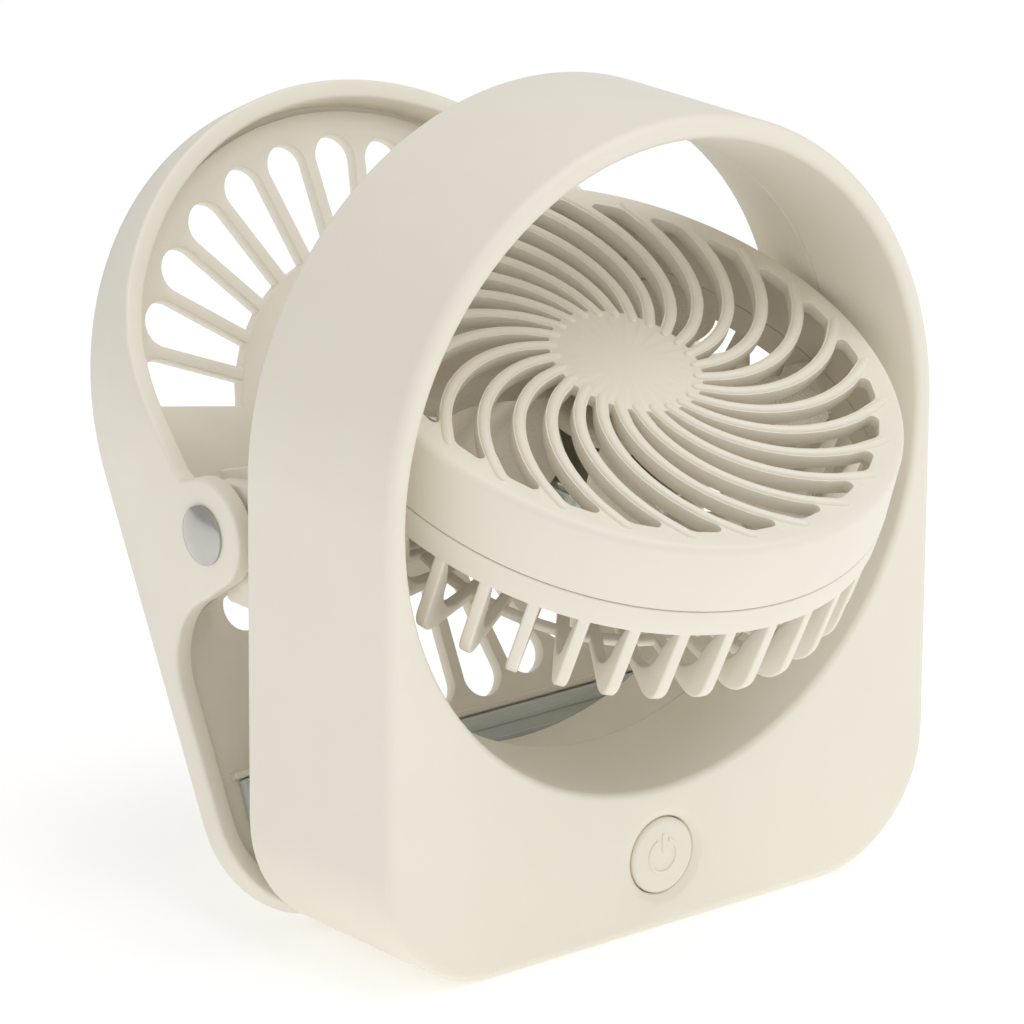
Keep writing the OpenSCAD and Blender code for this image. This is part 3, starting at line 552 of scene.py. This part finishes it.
def fin_outline():
    """One guard fin in radius and depth, anticlockwise: out along the back, round and up the side."""
    out, low, top = HEAD_SEAM_R - 0.7, -HEAD_BACK_Z, BAND_END_Z + 0.6

    def arc(cx, cy, r, a0, a1):
        angles = [radians(a0 + (a1 - a0) * k / 8) for k in range(9)]
        return [(cx + r * cos(a), cy + r * sin(a)) for a in angles]

    inner = out - 0.3 - FIN_SIDE - FIN_WINDOW_R
    return ([(GUARD_HUB_R - 1, low + FIN_LEG), (GUARD_HUB_R - 1, low + 0.1)]
            + arc(out - FIN_CORNER_R, low + FIN_CORNER_R, FIN_CORNER_R, -90, 0)
            + [(HEAD_SEAM_R - 0.2, top), (HEAD_SEAM_R - HEAD_WALL + 0.1, top)]
            + arc(inner, low + FIN_LEG + FIN_WINDOW_R, FIN_WINDOW_R, 0, -90))


def head_guard():
    form, back = Form(), -HEAD_BACK_Z
    form.lathe(rounded([(HEAD_SEAM_R, BAND_END_Z, 0.5), (HEAD_SEAM_R, SEAM_Z - 0.08, 0.25),
                        (HEAD_SEAM_R - HEAD_WALL, SEAM_Z - 0.08),
                        (HEAD_SEAM_R - HEAD_WALL, BAND_END_Z, 0.5)], 4),
               wrap=True, place=HEAD, count=180)
    for i in range(FINS):
        turn = Matrix.Rotation(2 * pi * i / FINS, 4, "Z") @ Matrix.Rotation(radians(90), 4, "X")
        form.slab(fin_outline(), -FIN_T / 2, FIN_T / 2, 0.55, HEAD @ turn)
    form.lathe(rounded([(GUARD_RING_R + 1.2, back + 0.4, 0.5), (GUARD_RING_R + 1.2, back + 2, 0.5),
                        (GUARD_RING_R - 1.2, back + 2, 0.5), (GUARD_RING_R - 1.2, back + 0.4, 0.5)], 3),
               wrap=True, place=HEAD, count=144)
    form.lathe(rounded([(4, back, 0.5), (GUARD_HUB_R, back, 0.9), (GUARD_HUB_R, back + GUARD_HUB_T, 0.5),
                        (4, back + GUARD_HUB_T)], 4), wrap=True, place=HEAD, count=120)
    for a in HEAD_SCREW_A:
        place = HEAD @ Matrix.Rotation(radians(a), 4, "Z") @ Matrix.Translation((HEAD_BOSS_R, 0, 0))
        form.lathe([(HEAD_BOSS_T, 1.8), (HEAD_BOSS_T, 5.4)], place=place, count=32)
    for side in (-1, 1):
        place = HEAD @ Matrix.Rotation(radians(90 * side), 4, "Y")
        form.lathe(rounded([(PIVOT_R + 2.5, 53.2, 0.6), (PIVOT_R + 2.5, 56.7), (PIVOT_R - 0.4, 56.7),
                            (PIVOT_R - 0.4, 53.2)], 4), wrap=True, place=place, count=48)
    settle(form.make("rear_guard"), "head", "ivory_plastic", "head_guard")


def motor_can():
    form = Form()
    form.lathe(rounded([(SHAFT_R + 1.7, CAN_Z[1]), (CAN_R, CAN_Z[1], 1.6), (CAN_R, CAN_Z[0]),
                        (CAN_R - 1, CAN_Z[0]), (CAN_R - 1, CAN_Z[1] - 1, 1),
                        (SHAFT_R + 1.7, CAN_Z[1] - 1)], 6), wrap=True, place=HEAD, count=120)
    settle(form.make("can"), "head", "nickel", "motor_can")


# ---------- blades ----------
def blade_rings(turn, rows=14, cols=14):
    """Sections of one blade from root to tip, each a thin loop round its chord."""
    rings = []
    for i in range(rows + 1):
        u = i / rows
        r = HUB_R - 0.8 + (BLADE_R - HUB_R + 0.8) * u
        tip = 1 - 0.5 * max(0, (u - 0.86) / 0.14) ** 2
        ring = []
        for k in range(2 * cols):
            v = k / cols if k <= cols else 2 - k / cols
            side = 1 if k <= cols else -1
            thick = BLADE_T * (0.25 + 0.75 * sqrt(max(0, 4 * v * (1 - v)))) / 2
            w = (v - 0.5) * tip
            a = radians(-8 * u + (30 + 8 * sin(pi * u)) * w + 14 * u * u) + turn
            z = BLADE_Z[0] + BLADE_T + (BLADE_Z[1] - BLADE_Z[0] - 2 * BLADE_T) * (0.5 - w) * (1 - 0.25 * u)
            ring.append((r * cos(a), r * sin(a), z + side * thick))
        rings.append(ring)
    return rings


def fan_blades():
    form = Form()
    form.lathe(rounded([(0.5, HUB_Z[1]), (HUB_R, HUB_Z[1], 2.2), (HUB_R, HUB_Z[0], 0.4),
                        (HUB_R - 1.6, HUB_Z[0]), (HUB_R - 1.6, HUB_Z[1] - 1.6, 0.6),
                        (0.5, HUB_Z[1] - 1.6)], 6, closed=False),
               place=HEAD, count=120)
    form.lathe([(3.4, HUB_BOSS_Z), (3.4, HUB_Z[1] - 1)], place=HEAD, count=40)
    for i in range(BLADES):
        form.loft(blade_rings(radians(BLADE_PHASE + 360 * i / BLADES)), place=HEAD)
    settle(form.make("blades"), "rotor", "blade_plastic", "fan_blades")


# ---------- clamp ----------
def rim_front(y):
    """Depth of the clamp rim's front edge at height y, away from the ear."""
    stations = [(-80, PLATE_Z + 2.5), (-27.3, PLATE_Z + 2.5), (10.8, -3), (24, -6.8), (33, -10.1),
                (42, -13), (53, -15.3), (89, -19)]
    for (y0, z0), (y1, z1) in zip(stations, stations[1:]):
        if y <= y1:
            return z0 + (z1 - z0) * (y - y0) / (y1 - y0)
    return stations[-1][1]


def ear_curve(count):
    """Front edge of the rim on a straight side, from the arc's end down to the lower corner."""
    line = [(CLAMP_TOP, rim_front(CLAMP_TOP)), (13.6, -3.9), (11.6, -2.6)]
    line += [(EAR_R * cos(radians(a)), EAR_R * sin(radians(a))) for a in range(0, 166, 6)]
    line += [(-27.3 + 15.2 * cos(radians(a)), -6.6 + 15.2 * sin(radians(a))) for a in range(0, -91, -6)]
    line += [(-36, PLATE_Z + 2.5), (CLAMP_LOW + CLAMP_CORNER_R, PLATE_Z + 2.5)]
    steps = [0]
    for a, b in zip(line, line[1:]):
        steps.append(steps[-1] + sqrt((a[0] - b[0]) ** 2 + (a[1] - b[1]) ** 2))
    out, j = [], 0
    for k in range(count):
        want = steps[-1] * k / count
        while steps[j + 1] < want:
            j += 1
        t = (want - steps[j]) / (steps[j + 1] - steps[j])
        out.append(tuple(line[j][c] + (line[j + 1][c] - line[j][c]) * t for c in (0, 1)))
    return out


SIDE_COUNT = 150
ARC_COUNT, CORNER_COUNT, BASE_COUNT = 112, 14, 18


def rim_line():
    """Height, depth and outward direction (y, z) of the rim's front edge at each point of the outline."""
    flat = round_top_outline(CLAMP_R, CLAMP_TOP, CLAMP_LOW, CLAMP_CORNER_R, 0,
                             ARC_COUNT, SIDE_COUNT, CORNER_COUNT, BASE_COUNT)
    ear = ear_curve(SIDE_COUNT)
    right = len(flat) - SIDE_COUNT
    line = [(y, rim_front(y)) for _, y in flat]
    line[ARC_COUNT:ARC_COUNT + SIDE_COUNT] = ear
    line[right:] = [(CLAMP_LOW + CLAMP_CORNER_R, PLATE_Z + 2.5)] + ear[:0:-1]
    out = []
    for k, (y, z) in enumerate(line):
        on_side = ARC_COUNT < k < ARC_COUNT + SIDE_COUNT - 1 or k > right
        (y0, z0), (y1, z1) = line[k - 1], line[(k + 1) % len(line)]
        away = Vector((0, 1))
        if on_side:
            away = Vector((z1 - z0, y0 - y1)).normalized() * (1 if k < right else -1)
        out.append((y, z, away))
    return out


RIM_LINE = rim_line()


def clamp_ring(inset, depth, follow):
    """One loop of the clamp. follow 1 puts it on the rim's front edge and 0 on the plane z = depth."""
    flat = round_top_outline(CLAMP_R, CLAMP_TOP, CLAMP_LOW, CLAMP_CORNER_R, inset,
                             ARC_COUNT, SIDE_COUNT, CORNER_COUNT, BASE_COUNT)
    ring = []
    for k, ((x, y), (line_y, line_z, away)) in enumerate(zip(flat, RIM_LINE)):
        if ARC_COUNT <= k < ARC_COUNT + SIDE_COUNT or k >= len(flat) - SIDE_COUNT:
            y = line_y
        wide = x * (1 + CLAMP_FLARE * max(0, CLAMP_TOP - y) / (CLAMP_TOP - CLAMP_LOW))
        ring.append((wide, y + depth * away[0], line_z + depth * away[1]) if follow else (wide, y, depth))
    return ring


def groove_floor(y):
    """Depth of the groove at the foot of the rim: only round the arc."""
    return PLATE_Z - GROOVE_D * max(0, min(1, (y - CLAMP_TOP - 3) / 8))


def slot_outline(turn, pitch, radii):
    """One air slot between two spokes: square inner end, round outer end."""
    inner, outer = (r * tan(radians(pitch / 2)) - SPOKE_W / 2 for r in radii)
    line = rounded([(-inner, radii[0], 0.6), (inner, radii[0], 0.6)], 3, closed=False)
    line += [(outer * cos(pi * k / 16), radii[1] + outer * sin(pi * k / 16)) for k in range(17)]
    c, s = cos(turn), sin(turn)
    return [(x * c - y * s, SLOT_Y + x * s + y * c) for x, y in line]


def clamp_shell():
    front, back = PLATE_Z, PLATE_Z - PLATE_T
    rings = [clamp_ring(3.0, back, 0), clamp_ring(0.5, back, 0), clamp_ring(0.15, back + 0.15, 0),
             clamp_ring(0, back + 0.5, 0)]
    for d, z in rounded([(0, -3), (0, 0, 0.7), (RIM_W, 0, 0.7), (RIM_W, -3)], 4, closed=False)[1:-1]:
        rings.append(clamp_ring(d, z, 1))
    rings.append(clamp_ring(RIM_W, front + 0.4, 0))
    for d in (RIM_W + 0.05, RIM_W + GROOVE_W):
        rings.append([(x, y, groove_floor(y)) for x, y, _ in clamp_ring(d, 0, 0)])
    rings += [clamp_ring(RIM_W + GROOVE_W + 0.15, front, 0), clamp_ring(RIM_W + 3.5, front, 0)]
    obj = Form().loft(rings, place=CLAMP).make("clamp_body")
    slots = Form()
    for count, pitch, radii, turn in (UPPER_FAN, LOWER_FAN):
        for i in range(count):
            angle = radians(turn + (i - (count - 1) / 2) * pitch)
            slots.prism(slot_outline(angle, pitch, radii), back - 1, front + 1, CLAMP)
    cut(obj, slots)
    soften(obj, 0.45, 60, 2)
    extra = Form()
    ear_end = [(8.6 * cos(radians(a)), 8.6 * sin(radians(a))) for a in range(-10, 191, 10)]
    inner_ear = rounded([(13, front - 0.5), *ear_end, (-13, front - 0.5)], 4)
    for side in (-1, 1):
        a, b = sorted((side * INNER_EAR_X[0], side * INNER_EAR_X[1]))
        extra.slab(inner_ear, a, b, 0.6, CLAMP @ IN_YZ)
    ledge = rounded([(-PAD_HALF - 1, PAD_Y[1] + 0.15, 0.4), (PAD_HALF + 1, PAD_Y[1] + 0.15, 0.4),
                     (PAD_HALF + 1, PAD_Y[1] + 1.5, 0.4), (-PAD_HALF - 1, PAD_Y[1] + 1.5, 0.4)], 3)
    extra.slab(ledge, front - 0.3, front + 1.9, 0.35, CLAMP)
    join(obj, extra.make("clamp_extra"))
    settle(obj, "clamp", "ivory_plastic", "clamp_shell")


def clamp_pad():
    """Soft pad across the clamp's lower end, with ribs across its face."""
    line = [(x, y) for x, y in round_top_outline(CLAMP_R - RIM_W - 0.5, CLAMP_TOP, CLAMP_LOW + RIM_W + 0.5,
                                                 CLAMP_CORNER_R - RIM_W - 0.5, 0, 112, 14, 20, 24)
            if y < PAD_Y[1] - 3]
    line = [(max(-PAD_HALF, min(PAD_HALF, x)), max(PAD_Y[0], y)) for x, y in line]
    clean = [p for i, p in enumerate(line) if i == 0 or (Vector(p) - Vector(line[i - 1])).length > 0.2]
    top = PAD_Y[1] - 0.2
    clean += [(PAD_HALF - 0.5, top - 0.2), (PAD_HALF - 1.2, top)]
    clean += [(-PAD_HALF + 1.2, top), (-PAD_HALF + 0.5, top - 0.2)]
    form = Form().slab(clean, PLATE_Z + 0.02, PLATE_Z + PAD_T, 0.6, CLAMP)
    for k in range(6):
        y = PAD_Y[0] + 5 + 3.4 * k
        half = PAD_HALF - 8 if k else PAD_HALF - 16
        rib = rounded([(-half, y, 0.5), (half, y, 0.5), (half, y + 1.2, 0.5), (-half, y + 1.2, 0.5)], 3)
        form.slab(rib, PLATE_Z + PAD_T - 0.3, PLATE_Z + PAD_T + 0.25, 0.2, CLAMP)
    settle(form.make("grip_pad"), "clamp", "silicone", "clamp_pad")


def hinge_caps():
    form, dome_r, cap_r = Form(), 16.0, 6.0
    base = sqrt(dome_r ** 2 - cap_r ** 2)
    radii = [cap_r * k / 14 for k in range(15)]
    dome = [(max(0.15, r), sqrt(dome_r ** 2 - r ** 2) - dome_r + 2) for r in radii]
    dome = dome[:-1] + [(cap_r, base - dome_r + 1.95), (cap_r, 0.05)]
    for side in (-1, 1):
        outward = Matrix.Rotation(radians(90 * side), 4, "Y")
        place = Matrix.Translation((side * CLAMP_R, HINGE_Y, HINGE_Z)) @ outward
        form.lathe(dome, place=place, count=72)
    settle(form.make("pin_caps"), "clamp", "chrome", "hinge_caps", angle=50)


def clamp_springs():
    form = Form()
    pitch = SPRING_WIRE + 0.1
    for side in (-1, 1):
        path = []
        for k in range(SPRING_TURNS * 32 + 1):
            a = 2 * pi * k / 32
            path.append((side * (SPRING_X + pitch * (k / 32 - SPRING_TURNS / 2)),
                         HINGE_Y + SPRING_R * cos(a), HINGE_Z + SPRING_R * sin(a)))
        form.tube(path, SPRING_WIRE / 2)
    settle(form.make("torsion_springs"), "clamp", "spring_steel", "clamp_springs")


# ---------- all pieces ----------
make_camera()
make_studio()
housing_front()
housing_rear()
power_button()
head_grille()
head_guard()
motor_can()
fan_blades()
clamp_shell()
clamp_pad()
hinge_caps()
clamp_springs()
for sub in frame["record"]["subparts"]:
    node = frame["nodes"][sub["node"]]
    if not node.hide_render:
        node.data.materials.clear()
        node.data.materials.append(MATERIALS[sub["material_slot"]])
